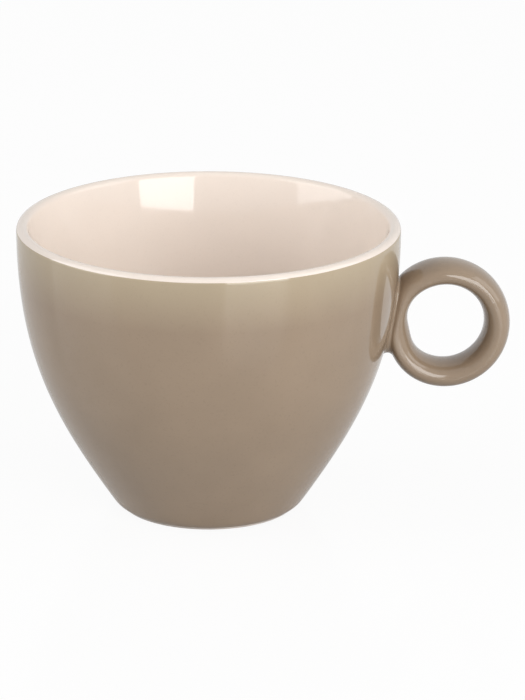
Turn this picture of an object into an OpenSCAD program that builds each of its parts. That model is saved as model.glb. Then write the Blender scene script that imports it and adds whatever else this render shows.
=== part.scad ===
// Cappuccino cup in glazed porcelain, with a closed ring for a handle.
// Millimetres, +Z up. The cup stands on z = 0, centred on the Z axis, and the ring points along +X.
// Every size of the bowl and the ring is taken over the fired glaze.

/* [Bowl] */
// Diameter over the rim
rim_d = 88; // [72:1:110]
// Height from the table to the top of the lip
cup_h = 67.4; // [56:0.2:90]
// Thickness of the wall at the lip, which is a half round
lip_t = 2.8; // [1.8:0.1:4]
// How far the heel stands out past the foot, where the wall rises out of it
heel_out = 2.5; // [2:0.1:6]
// Height where the wall rises out of the heel
heel_h = 2.55; // [2.2:0.05:5]
// Lean of the wall from upright where it leaves the heel, in degrees
wall_lean = 33.7; // [24:0.1:42]
// How far the wall keeps to that lean before it turns upright
lower_sweep = 23.9; // [14:0.1:30]
// How far below the lip the wall starts to lean
upper_sweep = 28.8; // [16:0.1:36]

/* [Inside] */
// Thickness of the floor above the hollow of the foot
floor_t = 4.4; // [2.5:0.1:7]
// Diameter of the floor's flat middle
floor_flat_d = 16; // [8:0.5:24]
// How far the floor runs on level before it turns up the wall
floor_sweep = 25.5; // [18:0.5:27]
// Lean of the inside wall from upright below the lip, in degrees
inside_lean = 14; // [4:1:18]
// How far below the lip the inside wall keeps to that lean
inside_sweep = 20; // [10:0.5:24]

/* [Foot] */
// Diameter of the foot
foot_d = 40.6; // [34:0.2:42]
// Height of the bare clay that shows below the coloured glaze
foot_bare_h = 0.5; // [0.3:0.1:0.7]
// Width of the ring that the cup stands on
foot_w = 3; // [2:0.1:6]
// Depth of the hollow under the cup
hollow_h = 1.6; // [1.4:0.1:3]

/* [Handle] */
// Diameter of the finger hole
hole_d = 18.7; // [15:0.1:24]
// Thickness of the ring, from the hole to its outside
ring_t = 5.7; // [4:0.1:9]
// Width of the ring from its front to its back
ring_w = 11.8; // [7:0.1:16]
// Squareness of the ring's section: 2 is an ellipse
ring_squareness = 2.2; // [2:0.1:4]
// Height of the ring's centre above the table
ring_z = 43.2; // [38:0.1:50]
// How far the middle of the ring's thickness stands off the wall
ring_standoff = 0.35; // [0:0.05:1]
// Width of the bead of slip round the ring's root
bead_w = 0.6; // [0.4:0.1:1.5]
// Height of that bead above the wall
bead_h = 0.6; // [0.4:0.1:1.5]

/* [Glaze] */
// Thickness of the fired glaze
glaze_t = 0.3; // [0.1:0.05:0.4]
// Angle up the lip's outer round where the inside glaze meets the outside glaze, in degrees
lip_line = 21; // [10:1:70]

/* [Hidden] */
$fn = 128;
// Steps in each curve of the profile, and in the ring's section
heel_steps = 6;
wall_steps = 22;
lip_steps = 10;
bowl_steps = 24;
section_steps = 36;

rim_r = rim_d / 2;
lip_r = lip_t / 2;
foot_r = foot_d / 2;
foot_inner_r = foot_r - foot_w;
floor_z = hollow_h + floor_t;
ring_r = (hole_d + ring_t) / 2;

function unit(v) = v / norm(v);
function lean_vector(angle) = [sin(angle), cos(angle)];
function quadratic(a, b, c, t) = pow(1 - t, 2) * a + 2 * t * (1 - t) * b + t * t * c;
function cubic(a, b, c, d, t) =
    pow(1 - t, 3) * a + 3 * t * pow(1 - t, 2) * b + 3 * t * t * (1 - t) * c + pow(t, 3) * d;

// The outside of the cup, as radius and height, from the foot up to the lip
foot_corner = [foot_r, foot_bare_h];
heel = [foot_r + heel_out, heel_h];
wall_top = [rim_r, cup_h - lip_r];
lower_turn = heel + lower_sweep * lean_vector(wall_lean);
upper_turn = wall_top - [0, upper_sweep];
heel_turn = heel - (heel_h - foot_bare_h) * [tan(wall_lean), 1];
heel_curve = [for (i = [0 : heel_steps - 1]) quadratic(foot_corner, heel_turn, heel, i / heel_steps)];
wall_curve = [for (i = [0 : wall_steps]) cubic(heel, lower_turn, upper_turn, wall_top, i / wall_steps)];

// The half round of the lip, cut in two by the line where the glazes meet
lip_centre = [rim_r - lip_r, cup_h - lip_r];
function lip_point(angle) = lip_centre + lip_r * [cos(angle), sin(angle)];
lip_outside = [for (i = [1 : lip_steps]) lip_point(lip_line * i / lip_steps)];
lip_turn = 180 - inside_lean - lip_line;
lip_inside = [for (i = [1 : lip_steps]) lip_point(lip_line + lip_turn * i / lip_steps)];

// The inside of the cup, from the lip down to the middle of the floor
inside_top = lip_point(lip_line + lip_turn);
inside_turn = inside_top - inside_sweep * lean_vector(inside_lean);
floor_edge = [floor_flat_d / 2, floor_z];
floor_turn = floor_edge + [floor_sweep, 0];
bowl_curve = [for (i = [1 : bowl_steps]) cubic(inside_top, inside_turn, floor_turn, floor_edge, i / bowl_steps)];

// The glazed faces, and the clay below them
outside_face = concat(heel_curve, wall_curve, lip_outside);
inside_face = concat(lip_inside, bowl_curve, [[0, floor_z]]);
glazed_face = concat(outside_face, inside_face);
outside_count = len(outside_face);

function direction(path, i) = unit(path[min(i + 1, len(path) - 1)] - path[max(i - 1, 0)]);
function into_wall(step) = [-step[1], step[0]];
function sunk(path, depth) = [for (i = [0 : len(path) - 1]) path[i] + depth * into_wall(direction(path, i))];
function reversed(list) = [for (i = [len(list) - 1 : -1 : 0]) list[i]];
function part_of(list, from, to) = [for (i = [from : to]) list[i]];

clay_face = sunk(glazed_face, glaze_t);
foot_seat = clay_face[0];

// The ring's middle stands off the wall at its own height
wall_heights = [for (p = wall_curve) [p[1], p[0]]];
ring_x = lookup(ring_z, wall_heights) + ring_standoff + ring_r;

function signed_power(value, power) = sign(value) * pow(abs(value), power);
function oval(thickness, width) = [
    for (i = [0 : section_steps - 1])
        let (angle = 360 * i / section_steps)
        [
            thickness / 2 * signed_power(cos(angle), 2 / ring_squareness),
            width / 2 * signed_power(sin(angle), 2 / ring_squareness)
        ]
];

// A profile turned about the cup's axis, starting on the side away from the ring
module turned() {
    rotate(180)
        rotate_extrude()
            children();
}

// A glaze coat between the glazed face and the clay, over a stretch of the profile
module coat(from, to) {
    turned()
        polygon(concat(part_of(glazed_face, from, to), reversed(part_of(clay_face, from, to))));
}

// The outside of the bowl as a full block, grown past its glazed face
module bowl_block(growth) {
    face = part_of(sunk(glazed_face, -growth), 0, outside_count - 1);
    turned()
        polygon(concat([[0, face[0][1]]], face, [[0, face[outside_count - 1][1]]]));
}

// The whole ring, grown past its glazed face
module ring_block(growth) {
    translate([ring_x, 0, ring_z])
        rotate([90, 0, 0])
            rotate_extrude()
                translate([ring_r, 0])
                    polygon(oval(ring_t + 2 * growth, ring_w + 2 * growth));
}

// A skin of the ring, between two offsets from its glazed face
module ring_skin(inner, outer) {
    translate([ring_x, 0, ring_z])
        rotate([90, 0, 0])
            rotate_extrude()
                translate([ring_r, 0])
                    difference() {
                        polygon(oval(ring_t + 2 * outer, ring_w + 2 * outer));
                        polygon(oval(ring_t + 2 * inner, ring_w + 2 * inner));
                    }
}

// The slip pressed out round the ring's root, with the ring still in it
module bead_block(growth) {
    intersection() {
        ring_block(bead_w + growth);
        bowl_block(bead_h + growth);
    }
}

module cup_body() {
    color("#f3ece4")
        turned()
            polygon(concat(
                clay_face,
                [[0, hollow_h], [foot_inner_r, hollow_h], [foot_inner_r, foot_seat[1]]]
            ));
}

module foot_ring() {
    color("#efe9e1")
        turned()
            polygon([
                [foot_inner_r, 0], [foot_r, 0], foot_corner, foot_seat, [foot_inner_r, foot_seat[1]]
            ]);
}

module handle_ring() {
    color("#f3ece4")
        difference() {
            ring_block(-glaze_t);
            bowl_block(-glaze_t);
        }
}

module handle_joint() {
    color("#eae2d8")
        difference() {
            intersection() {
                ring_skin(-glaze_t, bead_w - glaze_t);
                bowl_block(bead_h - glaze_t);
            }
            bowl_block(-glaze_t);
        }
}

module inner_glaze() {
    color("#ecdfd3")
        coat(outside_count - 1, len(glazed_face) - 1);
}

module outer_glaze() {
    color("#b3a48c")
        difference() {
            coat(0, outside_count - 1);
            ring_block(bead_w);
        }
}

module handle_glaze() {
    color("#a8977d")
        difference() {
            union() {
                ring_block(0);
                bead_block(0);
            }
            ring_block(-glaze_t);
            bead_block(-glaze_t);
            bowl_block(-glaze_t);
        }
}

module base_glaze() {
    color("#f7f3ee")
        translate([0, 0, hollow_h - glaze_t])
            cylinder(h = glaze_t, r = foot_inner_r);
}

cup_body();
foot_ring();
handle_ring();
handle_joint();
inner_glaze();
outer_glaze();
handle_glaze();
base_glaze();
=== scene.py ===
"""Dresses a packed cappuccino cup: two glazes, a bare foot, a ring for the finger and a pale studio."""

import logging
import math
from dataclasses import dataclass
from enum import Enum

import bmesh
import bpy
import numpy as np
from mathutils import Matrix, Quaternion, Vector


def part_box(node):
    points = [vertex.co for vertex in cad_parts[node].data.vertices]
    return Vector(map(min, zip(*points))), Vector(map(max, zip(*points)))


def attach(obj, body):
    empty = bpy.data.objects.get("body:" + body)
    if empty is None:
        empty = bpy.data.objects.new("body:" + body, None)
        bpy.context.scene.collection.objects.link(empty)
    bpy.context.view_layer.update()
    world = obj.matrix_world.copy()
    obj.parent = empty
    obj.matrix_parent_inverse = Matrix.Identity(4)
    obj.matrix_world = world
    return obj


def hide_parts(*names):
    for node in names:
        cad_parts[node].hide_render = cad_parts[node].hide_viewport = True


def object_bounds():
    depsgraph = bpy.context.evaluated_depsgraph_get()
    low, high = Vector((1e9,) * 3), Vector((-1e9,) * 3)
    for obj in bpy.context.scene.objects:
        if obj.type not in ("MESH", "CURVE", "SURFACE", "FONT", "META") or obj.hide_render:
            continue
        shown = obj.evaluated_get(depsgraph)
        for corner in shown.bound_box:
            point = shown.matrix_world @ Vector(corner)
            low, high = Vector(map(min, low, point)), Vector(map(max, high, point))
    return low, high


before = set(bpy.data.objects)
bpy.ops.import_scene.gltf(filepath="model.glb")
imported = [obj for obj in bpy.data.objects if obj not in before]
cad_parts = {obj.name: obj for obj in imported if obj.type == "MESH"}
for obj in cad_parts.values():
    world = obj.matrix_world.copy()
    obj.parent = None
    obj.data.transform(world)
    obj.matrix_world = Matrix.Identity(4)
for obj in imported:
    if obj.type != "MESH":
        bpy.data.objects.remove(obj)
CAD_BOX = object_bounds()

LOG = logging.getLogger("cappuccino_cup")
BODY = "root"
MM = 0.001
CREASE_ANGLE = math.radians(40)
ON_AXIS = 1e-9
NO_LENGTH = 1e-12
CLAY_NODE = "cup_body"
NOISE_SPAN = (0.3, 0.7)

Rgb = tuple[float, float, float]


class Slot(Enum):
    """The record's material slots."""

    PORCELAIN = "porcelain"
    BARE_FOOT = "bare_foot"
    CREAM_GLAZE = "cream_glaze"
    TAUPE_GLAZE = "taupe_glaze"
    CLEAR_GLAZE = "clear_glaze"


class Shading(Enum):
    """How a mesh turns its corners in the light."""

    SMOOTH = "smooth"
    CREASED = "creased"


class Wiring:
    """A node material while its nodes are being joined."""

    def __init__(self, name: str) -> None:
        """Starts an empty material with its surface shader and the object's own coordinates.

        Args:
            name: The material's name.
        """
        self.material = bpy.data.materials.new(name)
        self.material.use_nodes = True
        self.nodes = self.material.node_tree.nodes
        self.nodes.clear()
        output = self.nodes.new("ShaderNodeOutputMaterial")
        self.surface = self.nodes.new("ShaderNodeBsdfPrincipled")
        self.join(self.surface.outputs["BSDF"], output.inputs["Surface"])
        self.place = self.nodes.new("ShaderNodeTexCoord").outputs["Object"]

    def join(self, source: bpy.types.NodeSocket, target: bpy.types.NodeSocket) -> None:
        """Links one socket to another."""
        self.material.node_tree.links.new(source, target)

    def cloud(self, feature: float, detail: float = 3.0, softness: float = 0.5) -> bpy.types.NodeSocket:
        """Adds a noise over the object.

        Args:
            feature: Size of its patches, in metres.
            detail: How many finer layers it has.
            softness: How strong those layers are.

        Returns:
            The noise's value, from 0 to 1.
        """
        noise = self.nodes.new("ShaderNodeTexNoise")
        noise.inputs["Scale"].default_value = 1.0 / feature
        noise.inputs["Detail"].default_value = detail
        noise.inputs["Roughness"].default_value = softness
        self.join(self.place, noise.inputs["Vector"])
        return noise.outputs["Fac"]

    def span(
        self, value: bpy.types.NodeSocket, source: tuple[float, float], target: tuple[float, float]
    ) -> bpy.types.NodeSocket:
        """Maps a value from one span to another and holds it there.

        Args:
            value: What is mapped.
            source: The span that it comes from.
            target: The span that it goes to.

        Returns:
            The mapped value.
        """
        node = self.nodes.new("ShaderNodeMapRange")
        node.clamp = True
        for socket, number in zip(("From Min", "From Max", "To Min", "To Max"), (*source, *target)):
            node.inputs[socket].default_value = number
        self.join(value, node.inputs["Value"])
        return node.outputs["Result"]

    def blend(
        self, share: bpy.types.NodeSocket, low: Rgb | bpy.types.NodeSocket, high: Rgb | bpy.types.NodeSocket
    ) -> bpy.types.NodeSocket:
        """Mixes two colours.

        Args:
            share: How much of the second colour shows.
            low: The first colour, or the socket that gives it.
            high: The second colour, or the socket that gives it.

        Returns:
            The mixed colour.
        """
        node = self.nodes.new("ShaderNodeMix")
        node.data_type = "RGBA"
        self.join(share, node.inputs["Factor"])
        for socket, colour in ((node.inputs[6], low), (node.inputs[7], high)):
            if isinstance(colour, tuple):
                socket.default_value = (*colour, 1.0)
            else:
                self.join(colour, socket)
        return node.outputs[2]

    def height(self) -> bpy.types.NodeSocket:
        """Adds the height above the table.

        Returns:
            The height, in metres.
        """
        parts = self.nodes.new("ShaderNodeSeparateXYZ")
        self.join(self.place, parts.inputs["Vector"])
        return parts.outputs["Z"]

    def relief(self, value: bpy.types.NodeSocket, depth: float) -> None:
        """Makes the surface uneven in the light.

        Args:
            value: Where it is high and low, from 0 to 1.
            depth: How high a value of 1 is, in metres.
        """
        bump = self.nodes.new("ShaderNodeBump")
        bump.inputs["Strength"].default_value = 1.0
        bump.inputs["Distance"].default_value = depth
        self.join(value, bump.inputs["Height"])
        self.join(bump.outputs["Normal"], self.surface.inputs["Normal"])


def scaled(colour: Rgb, share: float) -> Rgb:
    """Gives a colour times a share."""
    return (colour[0] * share, colour[1] * share, colour[2] * share)


@dataclass(frozen=True)
class GlazeFinish:
    """A glassy glaze: its colour drifts, fine specks lie in it, and its skin is faintly uneven."""

    name: str
    slot: Slot
    colour: Rgb
    drift_share: float = 0.04
    drift_size: float = 14 * MM
    speck_share: float = 0.21
    speck_size: float = 0.55 * MM
    speck_span: tuple[float, float] = (0.6, 0.72)
    speck_shade: float = 0.72
    # A paler band up the wall towards the rim: partly thinner glaze, partly a painted sheen that lightens
    # the wall's top.
    thin_and_sheen_from: float = 54.5 * MM
    thin_and_sheen_to: float = 66.5 * MM
    thin_and_sheen_share: float = 0.0
    thin_and_sheen_colour: Rgb = (0.63, 0.54, 0.365)
    gloss: tuple[float, float] = (0.05, 0.09)
    gloss_size: float = 9 * MM
    skin_size: float = 5 * MM
    skin_depth: float = 0.012 * MM
    skin_softness: float = 0.4
    speck_detail: float = 1.0
    skin_detail: float = 2.0
    glass_index: float = 1.52

    def material(self) -> bpy.types.Material:
        """Builds the glaze.

        Returns:
            The finished material.
        """
        wiring = Wiring(self.name)
        drift = wiring.span(wiring.cloud(self.drift_size), NOISE_SPAN, (0.0, 1.0))
        clear = scaled(self.colour, 1.0 + self.drift_share)
        cloudy = scaled(self.colour, 1.0 - self.drift_share)
        colour = wiring.blend(drift, clear, cloudy)
        speckle = wiring.cloud(self.speck_size, self.speck_detail)
        specks = wiring.span(speckle, self.speck_span, (0.0, self.speck_share))
        colour = wiring.blend(specks, colour, scaled(self.colour, self.speck_shade))
        # Paler band towards the rim: partly the glaze thinning there, partly painted light, a sheen that
        # brightens the top of the wall.
        if self.thin_and_sheen_share:
            thin_and_sheen = wiring.span(wiring.height(), (self.thin_and_sheen_from, self.thin_and_sheen_to), (0.0, self.thin_and_sheen_share))
            colour = wiring.blend(thin_and_sheen, colour, self.thin_and_sheen_colour)
        wiring.join(colour, wiring.surface.inputs["Base Color"])
        gloss = wiring.span(wiring.cloud(self.gloss_size, self.skin_detail), NOISE_SPAN, self.gloss)
        wiring.join(gloss, wiring.surface.inputs["Roughness"])
        skin = wiring.cloud(self.skin_size, self.skin_detail, self.skin_softness)
        wiring.relief(skin, self.skin_depth)
        wiring.surface.inputs["IOR"].default_value = self.glass_index
        return wiring.material


@dataclass(frozen=True)
class ClayFinish:
    """Bare fired clay: a matt body with fine grain and a few darker grains."""

    name: str
    slot: Slot
    colour: Rgb
    grain_size: float = 0.18 * MM
    grain_depth: float = 0.02 * MM
    grain_detail: float = 4.0
    grain_softness: float = 0.6
    dark_span: tuple[float, float] = (0.62, 0.75)
    dark_share: float = 0.5
    dark_shade: float = 0.7
    stain_size: float = 6 * MM
    stain_span: tuple[float, float] = (0.35, 0.7)
    stain_share: float = 0.08
    matt: tuple[float, float] = (0.55, 0.75)

    def material(self) -> bpy.types.Material:
        """Builds the clay.

        Returns:
            The finished material.
        """
        wiring = Wiring(self.name)
        grain = wiring.cloud(self.grain_size, self.grain_detail, self.grain_softness)
        stain = wiring.span(wiring.cloud(self.stain_size), self.stain_span, (0.0, 1.0))
        colour = wiring.blend(stain, self.colour, scaled(self.colour, 1.0 - self.stain_share))
        grains = wiring.span(grain, self.dark_span, (0.0, self.dark_share))
        colour = wiring.blend(grains, colour, scaled(self.colour, self.dark_shade))
        wiring.join(colour, wiring.surface.inputs["Base Color"])
        wiring.join(wiring.span(grain, NOISE_SPAN, self.matt), wiring.surface.inputs["Roughness"])
        wiring.relief(grain, self.grain_depth)
        return wiring.material


# The taupe's paler band near the rim is partly thinner glaze and partly painted light on the wall's top.
TAUPE_GLAZE = GlazeFinish("taupe_glaze_gloss", Slot.TAUPE_GLAZE, (0.336, 0.249, 0.172), thin_and_sheen_share=0.42)
# A darker copy of the taupe for the ring and its fillet: painted shade, standing in for the dimmer light on
# the ring.
SHADED_RING_GLAZE = GlazeFinish("taupe_glaze_ring_painted_shade_gloss", Slot.TAUPE_GLAZE, (0.32, 0.237, 0.164))
CREAM_GLAZE = GlazeFinish(
    "cream_glaze_gloss", Slot.CREAM_GLAZE, (0.85, 0.752, 0.672), drift_share=0.012, speck_share=0.072
)
CLEAR_GLAZE = GlazeFinish("clear_glaze_gloss", Slot.CLEAR_GLAZE, (0.80, 0.76, 0.70), drift_share=0.02)
PORCELAIN = ClayFinish("porcelain_body", Slot.PORCELAIN, (0.84, 0.80, 0.74))
# The bare foot is the porcelain darkened and warmed by painted shade: the contact shadow by the floor is in
# its colour.
BARE_FOOT = ClayFinish("bare_foot_clay_painted_shade", Slot.BARE_FOOT, (0.66, 0.585, 0.53))

Finish = GlazeFinish | ClayFinish


def make_piece(
    name: str,
    points: np.ndarray,
    faces: list[tuple[int, ...]],
    finish: Finish,
    shading: Shading = Shading.CREASED,
) -> bpy.types.Object:
    """Makes a mesh that rides on the cup, with its finish on it.

    Args:
        name: The piece's name.
        points: Its corners, in metres, one row each.
        faces: Its faces, as corner numbers.
        finish: What it is finished with.
        shading: Whether sharp corners are kept.

    Returns:
        The new object.
    """
    mesh = bpy.data.meshes.new(name)
    mesh.from_pydata(points.tolist(), [], faces)
    shell = bmesh.new()
    shell.from_mesh(mesh)
    bmesh.ops.recalc_face_normals(shell, faces=shell.faces)
    shell.to_mesh(mesh)
    shell.free()
    mesh.shade_smooth()
    if shading is Shading.CREASED:
        mesh.set_sharp_from_angle(angle=CREASE_ANGLE)
    mesh.materials.append(finish.material())
    piece = bpy.data.objects.new(name, mesh)
    bpy.context.scene.collection.objects.link(piece)
    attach(piece, BODY)
    return piece


def revolve(outline: np.ndarray, turns: int) -> tuple[np.ndarray, list[tuple[int, ...]]]:
    """Turns a closed outline about the cup's axis.

    Args:
        outline: Radius and height of each point, with one row each, or one such table for each turn.
        turns: How many steps make a full turn.

    Returns:
        The corners and the faces.
    """
    rows = np.broadcast_to(outline, (turns, *outline.shape[-2:]))
    angles = np.linspace(0.0, 2 * math.pi, turns, endpoint=False)[:, None]
    corners: list[np.ndarray] = []
    columns: list[list[int]] = []
    for column in range(rows.shape[1]):
        radius, height = rows[:, column, 0], rows[:, column, 1]
        first = sum(len(c) for c in corners)
        if radius.max() < ON_AXIS:
            corners.append(np.array([[0.0, 0.0, height[0]]]))
            columns.append([first] * turns)
        else:
            ring = np.column_stack((radius * np.cos(angles[:, 0]), radius * np.sin(angles[:, 0]), height))
            corners.append(ring)
            columns.append(list(range(first, first + turns)))
    faces = []
    for near, far in zip(columns, columns[1:] + columns[:1]):
        for turn in range(turns):
            onward = (turn + 1) % turns
            face = tuple(dict.fromkeys((near[turn], near[onward], far[onward], far[turn])))
            if len(face) > 2:
                faces.append(face)
    return np.vstack(corners), faces


def loop_tube(loops: np.ndarray) -> list[tuple[int, ...]]:
    """Joins closed sections that follow one another round a closed path.

    Args:
        loops: Points by section and by place in the section.

    Returns:
        The faces, over the points taken section by section.
    """
    sections, places = loops.shape[:2]
    faces = []
    for section in range(sections):
        onward = (section + 1) % sections
        for place in range(places):
            beside = (place + 1) % places
            faces.append(
                (
                    section * places + place,
                    onward * places + place,
                    onward * places + beside,
                    section * places + beside,
                )
            )
    return faces


def lean(degrees: float) -> np.ndarray:
    """Gives the direction that leans out from upright by an angle, as radius and height."""
    return np.array((math.sin(math.radians(degrees)), math.cos(math.radians(degrees))))


def bezier(controls: list[np.ndarray], steps: int) -> np.ndarray:
    """Samples a curve from its control points.

    Args:
        controls: Three or four control points.
        steps: How many steps it has.

    Returns:
        The points, one row each, both ends among them.
    """
    share = np.linspace(0.0, 1.0, steps + 1)[:, None]
    order = len(controls) - 1
    return sum(
        math.comb(order, i) * share**i * (1 - share) ** (order - i) * control
        for i, control in enumerate(controls)
    )


def outward(path: np.ndarray) -> np.ndarray:
    """Finds the normals of a path, to the right of the way that it runs.

    Args:
        path: Radius and height of each point, one row each.

    Returns:
        The unit normals, one row each.
    """
    along = np.gradient(path, axis=0)
    along /= np.linalg.norm(along, axis=1)[:, None]
    return np.column_stack((along[:, 1], -along[:, 0]))


@dataclass(frozen=True)
class CupOutline:
    """The cup's section as radius and height, in metres, over its glazed faces."""

    rim_radius: float
    height: float
    foot_radius: float
    lip_thickness: float = 2.8 * MM
    heel_overhang: float = 2.5 * MM
    heel_height: float = 2.55 * MM
    wall_lean: float = 33.7
    lower_sweep: float = 23.9 * MM
    upper_sweep: float = 28.8 * MM
    floor_height: float = 6.0 * MM
    floor_flat: float = 8.0 * MM
    floor_sweep: float = 25.5 * MM
    inside_lean: float = 14.0
    inside_sweep: float = 20.0 * MM
    bare_height: float = 0.5 * MM
    lip_line: float = 21.0
    heel_steps: int = 16
    lip_line_steps: int = 12
    lip_steps: int = 24
    floor_steps: int = 6

    @classmethod
    def from_frame(cls) -> "CupOutline":
        """Takes the rim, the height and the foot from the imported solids."""
        return cls(
            rim_radius=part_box("outer_glaze")[1].y,
            height=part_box("inner_glaze")[1].z,
            foot_radius=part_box("foot_ring")[1].y,
        )

    @property
    def lip_radius(self) -> float:
        """Gives the radius of the lip's half round."""
        return self.lip_thickness / 2

    def lip(self, start: float, end: float, steps: int) -> np.ndarray:
        """Follows the lip's round.

        Args:
            start: Angle where it starts, in degrees up from the outside.
            end: Angle where it ends.
            steps: How many steps it has.

        Returns:
            The points, one row each.
        """
        angles = np.radians(np.linspace(start, end, steps + 1))
        centre = np.array((self.rim_radius - self.lip_radius, self.height - self.lip_radius))
        return centre + self.lip_radius * np.column_stack((np.cos(angles), np.sin(angles)))

    def outside(self, line: float, steps: int = 96) -> np.ndarray:
        """Follows the outside from the foot up to the glaze line on the lip.

        Args:
            line: Angle of the glaze line, in degrees.
            steps: How many steps the wall has.

        Returns:
            The points, one row each.
        """
        corner = np.array((self.foot_radius, self.bare_height))
        heel = np.array((self.foot_radius + self.heel_overhang, self.heel_height))
        drop = self.heel_height - self.bare_height
        heel_turn = heel - drop * np.array((math.tan(math.radians(self.wall_lean)), 1.0))
        top = np.array((self.rim_radius, self.height - self.lip_radius))
        lower = heel + self.lower_sweep * lean(self.wall_lean)
        upper = top - np.array((0.0, self.upper_sweep))
        return np.vstack(
            (
                bezier([corner, heel_turn, heel], self.heel_steps)[:-1],
                bezier([heel, lower, upper, top], steps)[:-1],
                self.lip(0.0, line, self.lip_line_steps),
            )
        )

    def inside(self, line: float, steps: int = 96) -> np.ndarray:
        """Follows the inside from the glaze line over the lip to the middle of the floor.

        Args:
            line: Angle of the glaze line, in degrees.
            steps: How many steps the bowl has.

        Returns:
            The points, one row each.
        """
        over = self.lip(line, 180.0 - self.inside_lean, self.lip_steps)
        turn = over[-1] - self.inside_sweep * lean(self.inside_lean)
        edge = np.array((self.floor_flat, self.floor_height))
        bowl = bezier([over[-1], turn, edge + np.array((self.floor_sweep, 0.0)), edge], steps)
        inward = np.linspace(self.floor_flat, 0.0, self.floor_steps + 1)
        middle = np.column_stack((inward, np.full_like(inward, self.floor_height)))
        return np.vstack((over[:-1], bowl[:-1], middle))


@dataclass
class Bowl:
    """The bowl's two glaze coats, which meet in a faintly wandering line on the lip."""

    outline: CupOutline
    coat: float = 0.3 * MM
    turns: int = 256
    line_wander: float = 2.2
    line_waves: tuple[tuple[float, int, float], ...] = ((0.5, 2, 0.6), (0.3, 5, 2.1), (0.2, 11, 4.0))
    clay_sink: float = 0.02 * MM

    def line_angles(self) -> np.ndarray:
        """Lets the glaze line wander on the lip.

        Returns:
            Its angle at each turn, in degrees.
        """
        turn = np.linspace(0.0, 2 * math.pi, self.turns, endpoint=False)
        wander = sum(share * np.sin(count * turn + start) for share, count, start in self.line_waves)
        return self.outline.lip_line + self.line_wander * wander

    def shell(self, face: np.ndarray) -> np.ndarray:
        """Closes a glazed face into a coat of even thickness.

        Args:
            face: The glazed face, which runs with the outside on its right.

        Returns:
            The closed outline.
        """
        back = face - (self.coat - self.clay_sink) * outward(face)
        back[:, 0] = np.maximum(back[:, 0], 0.0)
        if face[-1, 0] < ON_AXIS:
            back[-1, 0] = 0.0
        return np.vstack((face, back[::-1]))

    def build(self) -> list[bpy.types.Object]:
        """Builds and dresses both coats.

        Returns:
            The outer coat and the inner coat.
        """
        lines = self.line_angles()
        outer = np.stack([self.shell(self.outline.outside(line)) for line in lines])
        inner = np.stack([self.shell(self.outline.inside(line)) for line in lines])
        outer_coat = make_piece("bowl_outer_coat", *revolve(outer, self.turns), TAUPE_GLAZE)
        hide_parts("outer_glaze")
        inner_coat = make_piece("bowl_inner_coat", *revolve(inner, self.turns), CREAM_GLAZE)
        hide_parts("inner_glaze")
        return [outer_coat, inner_coat]


@dataclass
class Foot:
    """The bare ring that the cup stands on and the glaze in the hollow inside it."""

    outline: CupOutline
    width: float = 3.0 * MM
    ground_edge: float = 0.18 * MM
    hollow: float = 1.6 * MM
    glaze: float = 0.3 * MM
    meniscus: float = 0.9 * MM
    meniscus_rise: float = 0.22 * MM
    meniscus_power: int = 3
    meniscus_steps: int = 12
    turns: int = 192

    def rounded(self, corner: tuple[float, float], start: float, steps: int = 5) -> np.ndarray:
        """Rounds a corner of the foot where it was wiped.

        Args:
            corner: Centre of the round, as radius and height.
            start: Angle where the quarter round starts, in degrees.
            steps: How many steps it has.

        Returns:
            The points, one row each.
        """
        angles = np.radians(np.linspace(start, start + 90.0, steps + 1))
        return np.array(corner) + self.ground_edge * np.column_stack((np.cos(angles), np.sin(angles)))

    def ring_outline(self) -> np.ndarray:
        """Draws the bare ring, with its lower edges wiped round.

        Returns:
            The closed section, as radius and height, one row each.
        """
        outer, edge = self.outline.foot_radius, self.ground_edge
        inner = outer - self.width
        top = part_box("foot_ring")[1].z
        return np.vstack(
            (
                self.rounded((inner + edge, edge), 180.0),
                self.rounded((outer - edge, edge), 270.0),
                [(outer, self.outline.bare_height), (outer - edge / 2, top), (inner, top)],
            )
        )

    def glaze_outline(self) -> np.ndarray:
        """Draws the glaze in the hollow, which gathers towards its edge.

        Returns:
            The closed section, as radius and height, one row each.
        """
        edge = self.outline.foot_radius - self.width
        level = self.hollow - self.glaze
        share = np.linspace(0.0, 1.0, self.meniscus_steps + 1)
        drop = self.meniscus_rise * share**self.meniscus_power
        climb = np.column_stack((edge - self.meniscus * (1 - share), level - drop))
        return np.vstack(([(0.0, level)], climb, [(edge, self.hollow), (0.0, self.hollow)]))

    def build(self) -> list[bpy.types.Object]:
        """Builds and dresses the ring and the glaze.

        Returns:
            The bare ring and the glaze in the hollow.
        """
        ring = make_piece("foot_bare_ring", *revolve(self.ring_outline(), self.turns), BARE_FOOT)
        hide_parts("foot_ring")
        base = make_piece("foot_hollow_coat", *revolve(self.glaze_outline(), self.turns), CLEAR_GLAZE)
        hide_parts("base_glaze")
        return [ring, base]


def rise_round(angle: float | np.ndarray, middle: float, spread: float) -> float | np.ndarray:
    """Gives a soft rise to 1 round one place on the ring.

    Args:
        angle: Angle round the ring in radians.
        middle: Where the rise is, in degrees.
        spread: How far it spreads to each side, in degrees.

    Returns:
        The rise at that angle.
    """
    off = (np.degrees(angle) - middle + 180.0) % 360.0 - 180.0
    return np.exp(-((off / spread) ** 2))


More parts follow.
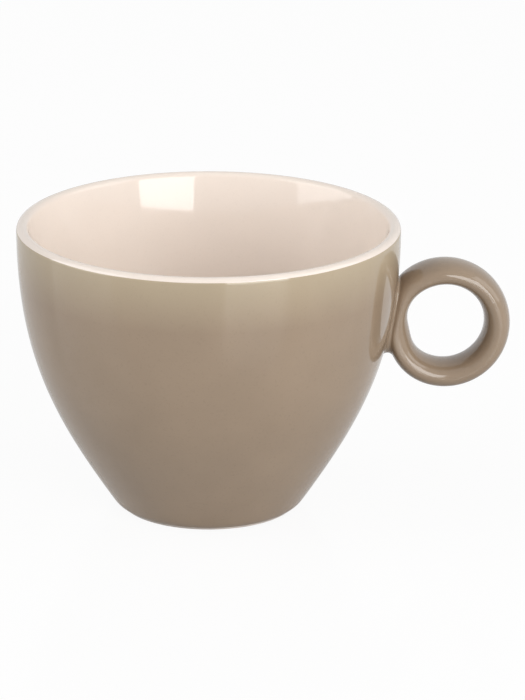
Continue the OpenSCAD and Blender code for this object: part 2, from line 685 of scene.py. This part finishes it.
@dataclass
class FingerRing:
    """The closed ring for the finger and the soft fillet of glaze round its root."""

    outline: CupOutline
    thickness: float = 5.7 * MM
    width: float = 11.8 * MM
    squareness: float = 2.2
    swell: float = 1.0 * MM
    swell_angle: float = 190.0
    swell_spread: float = 29.0
    hole_lift: float = 0.28 * MM
    hole_squeeze: float = 0.24 * MM
    press_reach: float = 11.25 * MM
    press_lean: float = 14.0
    press_bend: float = 30.0
    tuck: float = 1.15 * MM
    tuck_angle: float = 190.0
    tuck_spread: float = 35.0
    fillet: float = 0.4 * MM
    fillet_below: float = 1.1 * MM
    fillet_taper: float = 4.0
    feather: float = 0.22 * MM
    feather_sink: float = 0.02 * MM
    back_share: float = 1.2
    root_height: float = 45.6 * MM
    turns: int = 240
    places: int = 88
    edge_samples: int = 4001
    fillet_turns: int = 200
    fillet_steps: int = 12
    search_places: int = 3000
    search_wall_steps: int = 480
    search_widths: float = 3.0
    search_halvings: int = 40

    def __post_init__(self) -> None:
        """Takes the ring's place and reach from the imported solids."""
        low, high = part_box("handle_glaze")
        outer = (high.z - low.z) / 2
        self.radius = outer - self.thickness / 2
        self.centre = np.array((high.x - outer, 0.0, (high.z + low.z) / 2))

    def section(self, places: int) -> np.ndarray:
        """Gives the ring's rounded section.

        Args:
            places: How many points it has, evenly spaced along its edge.

        Returns:
            Points out from the ring's middle line and along its width, one row each.
        """
        angle = np.linspace(0.0, 2 * math.pi, self.edge_samples)
        power = 2.0 / self.squareness
        x = self.thickness / 2 * np.sign(np.cos(angle)) * np.abs(np.cos(angle)) ** power
        y = self.width / 2 * np.sign(np.sin(angle)) * np.abs(np.sin(angle)) ** power
        run = np.concatenate(([0.0], np.cumsum(np.hypot(np.diff(x), np.diff(y)))))
        even = np.linspace(0.0, run[-1], places, endpoint=False)
        return np.column_stack((np.interp(even, run, x), np.interp(even, run, y)))

    def middle_line(self, angle: float | np.ndarray) -> float | np.ndarray:
        """Tells how far out the ring's middle line runs, which is pressed straight along the wall.

        Args:
            angle: Angle round the ring in radians, up from the side away from the cup.

        Returns:
            Its distance from the ring's centre.
        """
        towards = np.maximum(np.cos(angle - math.radians(180.0 - self.press_lean)), 0.0)
        pressed = (towards * self.radius / self.press_reach) ** self.press_bend
        return self.radius * (1.0 + pressed) ** (-1.0 / self.press_bend)

    def depths(self, angle: float | np.ndarray) -> tuple[float | np.ndarray, float | np.ndarray]:
        """Tells how deep the section is on its hole side and on its outer side.

        Args:
            angle: Angle round the ring in radians, up from the side away from the cup.

        Returns:
            The shares of half its thickness.
        """
        half = self.thickness / 2
        swell = self.swell * rise_round(angle, self.swell_angle, self.swell_spread)
        squeeze = self.hole_squeeze * np.maximum(np.cos(angle), 0.0) ** 2
        more = swell + squeeze - self.hole_lift * np.sin(angle) + self.middle_line(angle) - self.radius
        less = self.tuck * rise_round(angle, self.tuck_angle, self.tuck_spread)
        return 1.0 + more / half, 1.0 - less / half

    def ring_loops(self) -> np.ndarray:
        """Carries the section round the ring.

        Returns:
            The ring's points, by turn and by place in its section.
        """
        section = self.section(self.places)
        angles = np.linspace(0.0, 2 * math.pi, self.turns, endpoint=False)[:, None]
        reach = self.middle_line(angles) + section[:, 0] * np.where(section[:, 0] < 0, *self.depths(angles))
        across = np.broadcast_to(section[:, 1], (self.turns, self.places))
        return self.centre + np.stack((reach * np.cos(angles), across, reach * np.sin(angles)), axis=2)

    def ring_distance(self, point: np.ndarray, section: np.ndarray) -> tuple[float, np.ndarray]:
        """Measures how far a point lies off the ring.

        Args:
            point: The point.
            section: The ring's section, as close points.

        Returns:
            The distance, less than 0 inside, and the direction away from the ring.
        """
        offset = point - self.centre
        reach = math.hypot(offset[0], offset[2])
        angle = math.atan2(offset[2], offset[0])
        across = np.array((reach - self.middle_line(angle), offset[1]))
        depths = self.depths(angle)
        edge = section * np.column_stack((np.where(section[:, 0] < 0, *depths), np.ones(len(section))))
        gaps = edge - across
        away = -gaps[np.argmin((gaps**2).sum(axis=1))]
        length = float(np.linalg.norm(away))
        half = self.thickness / 2 * depths[0 if across[0] < 0 else 1]
        fill = np.abs(across) / np.array((half, self.width / 2))
        inside = (fill**self.squareness).sum() < 1.0
        away = away / max(length, NO_LENGTH)
        direction = np.array((away[0] * offset[0] / reach, away[1], away[0] * offset[2] / reach))
        return (-length, -direction) if inside else (length, direction)

    def fillet_loops(self) -> np.ndarray:
        """Rolls a ball round the root, between the wall and the ring.

        Returns:
            The fillet's points, by turn and by place in its section.
        """
        wall = self.outline.outside(self.outline.lip_line, self.search_wall_steps)
        normal = outward(wall)
        section = self.section(self.search_places)
        loops = []
        for angle in np.linspace(0.0, 2 * math.pi, self.fillet_turns, endpoint=False):
            ball = self.fillet + self.fillet_below * max(-math.sin(angle), 0.0) ** self.fillet_taper
            near, far = 0.0, self.search_widths * self.width
            for _ in range(self.search_halvings):
                middle = (near + far) / 2
                touch, wall_way = self.wall_point(middle, angle, wall, normal)
                centre = touch + ball * wall_way
                gap, ring_way = self.ring_distance(centre, section)
                near, far = (middle, far) if gap < ball else (near, middle)
            loops.append(self.fillet_section(centre, ball, wall_way, ring_way))
        return np.stack(loops)

    def wall_point(
        self, distance: float, angle: float, wall: np.ndarray, normal: np.ndarray
    ) -> tuple[np.ndarray, np.ndarray]:
        """Finds a point on the wall.

        Args:
            distance: How far from the middle of the root.
            angle: In which direction from there, in radians.
            wall: The wall's outline.
            normal: The outline's normals.

        Returns:
            The point, and the wall's direction there.
        """
        side = distance * math.cos(angle)
        height = self.root_height + distance * math.sin(angle)
        radius = float(np.interp(height, wall[:, 1], wall[:, 0]))
        out = float(np.interp(height, wall[:, 1], normal[:, 0]))
        up = float(np.interp(height, wall[:, 1], normal[:, 1]))
        forward = math.sqrt(max(radius**2 - side**2, 0.0))
        way = np.array((out * forward / radius, out * side / radius, up))
        return np.array((forward, side, height)), way / np.linalg.norm(way)

    def fillet_section(
        self, centre: np.ndarray, ball: float, wall_way: np.ndarray, ring_way: np.ndarray
    ) -> np.ndarray:
        """Gives one closed section of the fillet, with feathered edges and its back in the clay.

        Args:
            centre: The ball's centre.
            ball: Its radius.
            wall_way: The wall's direction towards it.
            ring_way: The ring's direction towards it.

        Returns:
            The points, one row each.
        """
        turn = math.acos(max(-1.0, min(1.0, float(wall_way @ ring_way))))
        share = np.linspace(0.0, 1.0, self.fillet_steps + 1)[:, None]
        ways = (np.sin((1 - share) * turn) * wall_way + np.sin(share * turn) * ring_way) / math.sin(turn)
        arc = centre - ball * ways
        edges = []
        for end, way, other in ((arc[0], wall_way, ring_way), (arc[-1], ring_way, wall_way)):
            off = other - (other @ way) * way
            edges.append(end + self.feather * off / np.linalg.norm(off) - self.feather_sink * way)
        back = centre - self.back_share * ball * (wall_way + ring_way) / (1.0 + wall_way @ ring_way)
        return np.vstack((edges[0], arc, edges[1], back))

    def build(self) -> list[bpy.types.Object]:
        """Builds and dresses the ring and its fillet.

        Returns:
            The ring and the fillet.
        """
        loops = self.ring_loops()
        # The ring and its fillet wear the darker taupe copy, with its painted shade.
        ring = make_piece("finger_ring", loops.reshape(-1, 3), loop_tube(loops), SHADED_RING_GLAZE, Shading.SMOOTH)
        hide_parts("handle_ring", "handle_glaze")
        rolled = self.fillet_loops()
        fillet = make_piece("finger_ring_fillet", rolled.reshape(-1, 3), loop_tube(rolled), SHADED_RING_GLAZE)
        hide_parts("handle_joint")
        return [ring, fillet]


@dataclass(frozen=True)
class SoftLight:
    """A softbox that faces the cup."""

    name: str
    azimuth: float
    elevation: float
    distance: float
    width: float
    height: float
    watts: float
    colour: Rgb = (1.0, 1.0, 1.0)

    def build(self, target: Vector) -> bpy.types.Object:
        """Hangs the softbox.

        Args:
            target: The point that it faces.

        Returns:
            The lamp.
        """
        data = bpy.data.lights.new(self.name, "AREA")
        data.shape = "RECTANGLE"
        data.size, data.size_y = self.width, self.height
        data.energy = self.watts
        data.color = self.colour
        lamp = bpy.data.objects.new(self.name, data)
        turn, rise = math.radians(self.azimuth), math.radians(self.elevation)
        way = Vector((math.sin(turn) * math.cos(rise), -math.cos(turn) * math.cos(rise), math.sin(rise)))
        lamp.location = target + self.distance * way
        lamp.rotation_mode = "QUATERNION"
        lamp.rotation_quaternion = (-way).to_track_quat("-Z", "Y")
        lamp.visible_camera = False
        bpy.context.scene.collection.objects.link(lamp)
        return lamp


@dataclass
class Studio:
    """A pale floor, soft lamps, a pale room and the camera."""

    floor_side: float = 12.0
    floor_shown: Rgb = (0.97, 0.97, 0.97)
    floor_bounce: Rgb = (0.45, 0.45, 0.45)
    floor_polish: float = 0.2
    floor_lift: float = 0.92
    gloss_lift: float = 0.1
    room_light: float = 0.35
    room_gloss: float = 0.9
    eye_distance: float = 1000 * MM
    eye_elevation: float = 18.19
    eye_azimuth: float = -2.0
    eye_roll: float = 0.25
    eye_aside: float = 12.42 * MM
    eye_aim_height: float = 36.721 * MM
    focal_pixels: float = 4332.0
    image_height: float = 700.0
    sensor: float = 36.0
    nearest: float = 0.01
    farthest: float = 100.0

    def lamps(self) -> list[SoftLight]:
        """Lists the softboxes."""
        return [
            SoftLight("key_softbox", 27.0, 17.0, 1.2, 0.79, 0.74, 10.0),
            SoftLight("left_softbox", -84.0, 27.0, 1.4, 1.2, 1.2, 11.0),
            SoftLight("right_softbox", 80.0, 30.0, 1.4, 1.0, 1.0, 4.8),
        ]

    def by_ray(
        self, tree: bpy.types.NodeTree, unseen: float, gloss: float, seen: float
    ) -> bpy.types.NodeSocket:
        """Gives a level that depends on what a ray is for.

        Args:
            tree: The nodes that it is added to.
            unseen: The level for light that falls on the cup.
            gloss: The level in gloss and through glass.
            seen: The level before the camera.

        Returns:
            The level.
        """
        path = tree.nodes.new("ShaderNodeLightPath")
        level = None
        rays = (("Is Glossy Ray", gloss), ("Is Transmission Ray", gloss), ("Is Camera Ray", seen))
        for ray, number in rays:
            mix = tree.nodes.new("ShaderNodeMix")
            tree.links.new(path.outputs[ray], mix.inputs["Factor"])
            mix.inputs["A"].default_value, mix.inputs["B"].default_value = unseen, number
            if level:
                tree.links.new(level, mix.inputs["A"])
            level = mix.outputs["Result"]
        return level

    def room(self) -> None:
        """Makes the pale room that lights the cup from all sides."""
        world = bpy.data.worlds.new("pale_room")
        world.use_nodes = True
        tree = world.node_tree
        background = tree.nodes["Background"]
        background.inputs["Color"].default_value = (1.0, 1.0, 1.0, 1.0)
        level = self.by_ray(tree, self.room_light, self.room_gloss, 1.0)
        tree.links.new(level, background.inputs["Strength"])
        bpy.context.scene.world = world

    def floor(self) -> bpy.types.Object:
        """Lays the pale floor, which keeps the cup's shadow.

        Returns:
            The floor.
        """
        half = self.floor_side / 2
        mesh = bpy.data.meshes.new("floor")
        corners = [(-half, -half, 0.0), (half, -half, 0.0), (half, half, 0.0), (-half, half, 0.0)]
        mesh.from_pydata(corners, [], [(0, 1, 2, 3)])
        material = bpy.data.materials.new("pale_floor")
        material.use_nodes = True
        tree = material.node_tree
        tree.nodes.clear()
        output = tree.nodes.new("ShaderNodeOutputMaterial")
        bounce = tree.nodes.new("ShaderNodeBsdfDiffuse")
        bounce.inputs["Color"].default_value = (*self.floor_bounce, 1.0)
        shown = tree.nodes.new("ShaderNodeBsdfPrincipled")
        shown.inputs["Base Color"].default_value = (*self.floor_shown, 1.0)
        shown.inputs["Roughness"].default_value = self.floor_polish
        glow = tree.nodes.new("ShaderNodeEmission")
        glow.inputs["Color"].default_value = (1.0, 1.0, 1.0, 1.0)
        lifted, either = (tree.nodes.new("ShaderNodeMixShader") for _ in range(2))
        for source, target in (
            (self.by_ray(tree, 0.0, self.gloss_lift, self.floor_lift), lifted.inputs["Fac"]),
            (shown.outputs["BSDF"], lifted.inputs[1]),
            (glow.outputs["Emission"], lifted.inputs[2]),
            (self.by_ray(tree, 0.0, 1.0, 1.0), either.inputs["Fac"]),
            (bounce.outputs["BSDF"], either.inputs[1]),
            (lifted.outputs["Shader"], either.inputs[2]),
            (either.outputs["Shader"], output.inputs["Surface"]),
        ):
            tree.links.new(source, target)
        mesh.materials.append(material)
        floor = bpy.data.objects.new("floor", mesh)
        bpy.context.scene.collection.objects.link(floor)
        return floor

    def camera(self) -> bpy.types.Object:
        """Sets up the camera at the photograph's angle.

        Returns:
            The camera.
        """
        data = bpy.data.cameras.new("camera")
        data.sensor_width = self.sensor
        data.lens = self.focal_pixels * self.sensor / self.image_height
        data.clip_start, data.clip_end = self.nearest, self.farthest
        eye = bpy.data.objects.new("camera", data)
        turn, rise = math.radians(self.eye_azimuth), math.radians(self.eye_elevation)
        back = Vector((math.sin(turn) * math.cos(rise), -math.cos(turn) * math.cos(rise), math.sin(rise)))
        aside = Vector((math.cos(turn), math.sin(turn), 0.0))
        aim = self.eye_aside * aside + Vector((0.0, 0.0, self.eye_aim_height))
        eye.location = self.eye_distance * back + aim
        eye.rotation_mode = "QUATERNION"
        roll = Quaternion((0.0, 0.0, 1.0), math.radians(self.eye_roll))
        eye.rotation_quaternion = (-back).to_track_quat("-Z", "Y") @ roll
        bpy.context.scene.collection.objects.link(eye)
        bpy.context.scene.camera = eye
        return eye

    def build(self) -> None:
        """Sets up the whole studio."""
        bpy.context.scene.view_settings.view_transform = "Standard"
        self.camera()
        self.room()
        self.floor()
        low, high = CAD_BOX
        target = Vector((0.0, 0.0, (low.z + high.z) / 2))
        for lamp in self.lamps():
            lamp.build(target)


def dress_clay() -> None:
    """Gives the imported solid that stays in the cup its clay."""
    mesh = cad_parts[CLAY_NODE].data
    mesh.materials.clear()
    mesh.materials.append(PORCELAIN.material())
    LOG.info("%s dressed as %s", CLAY_NODE, PORCELAIN.name)


def main() -> None:
    """Builds the cup's pieces and the studio in order."""
    logging.basicConfig(level=logging.INFO, format="%(name)s: %(message)s")
    Studio().build()
    outline = CupOutline.from_frame()
    for assembly in (Bowl(outline), Foot(outline), FingerRing(outline)):
        for piece in assembly.build():
            LOG.info("%s: %d faces", piece.name, len(piece.data.polygons))
    dress_clay()


if __name__ == "__main__":
    main()
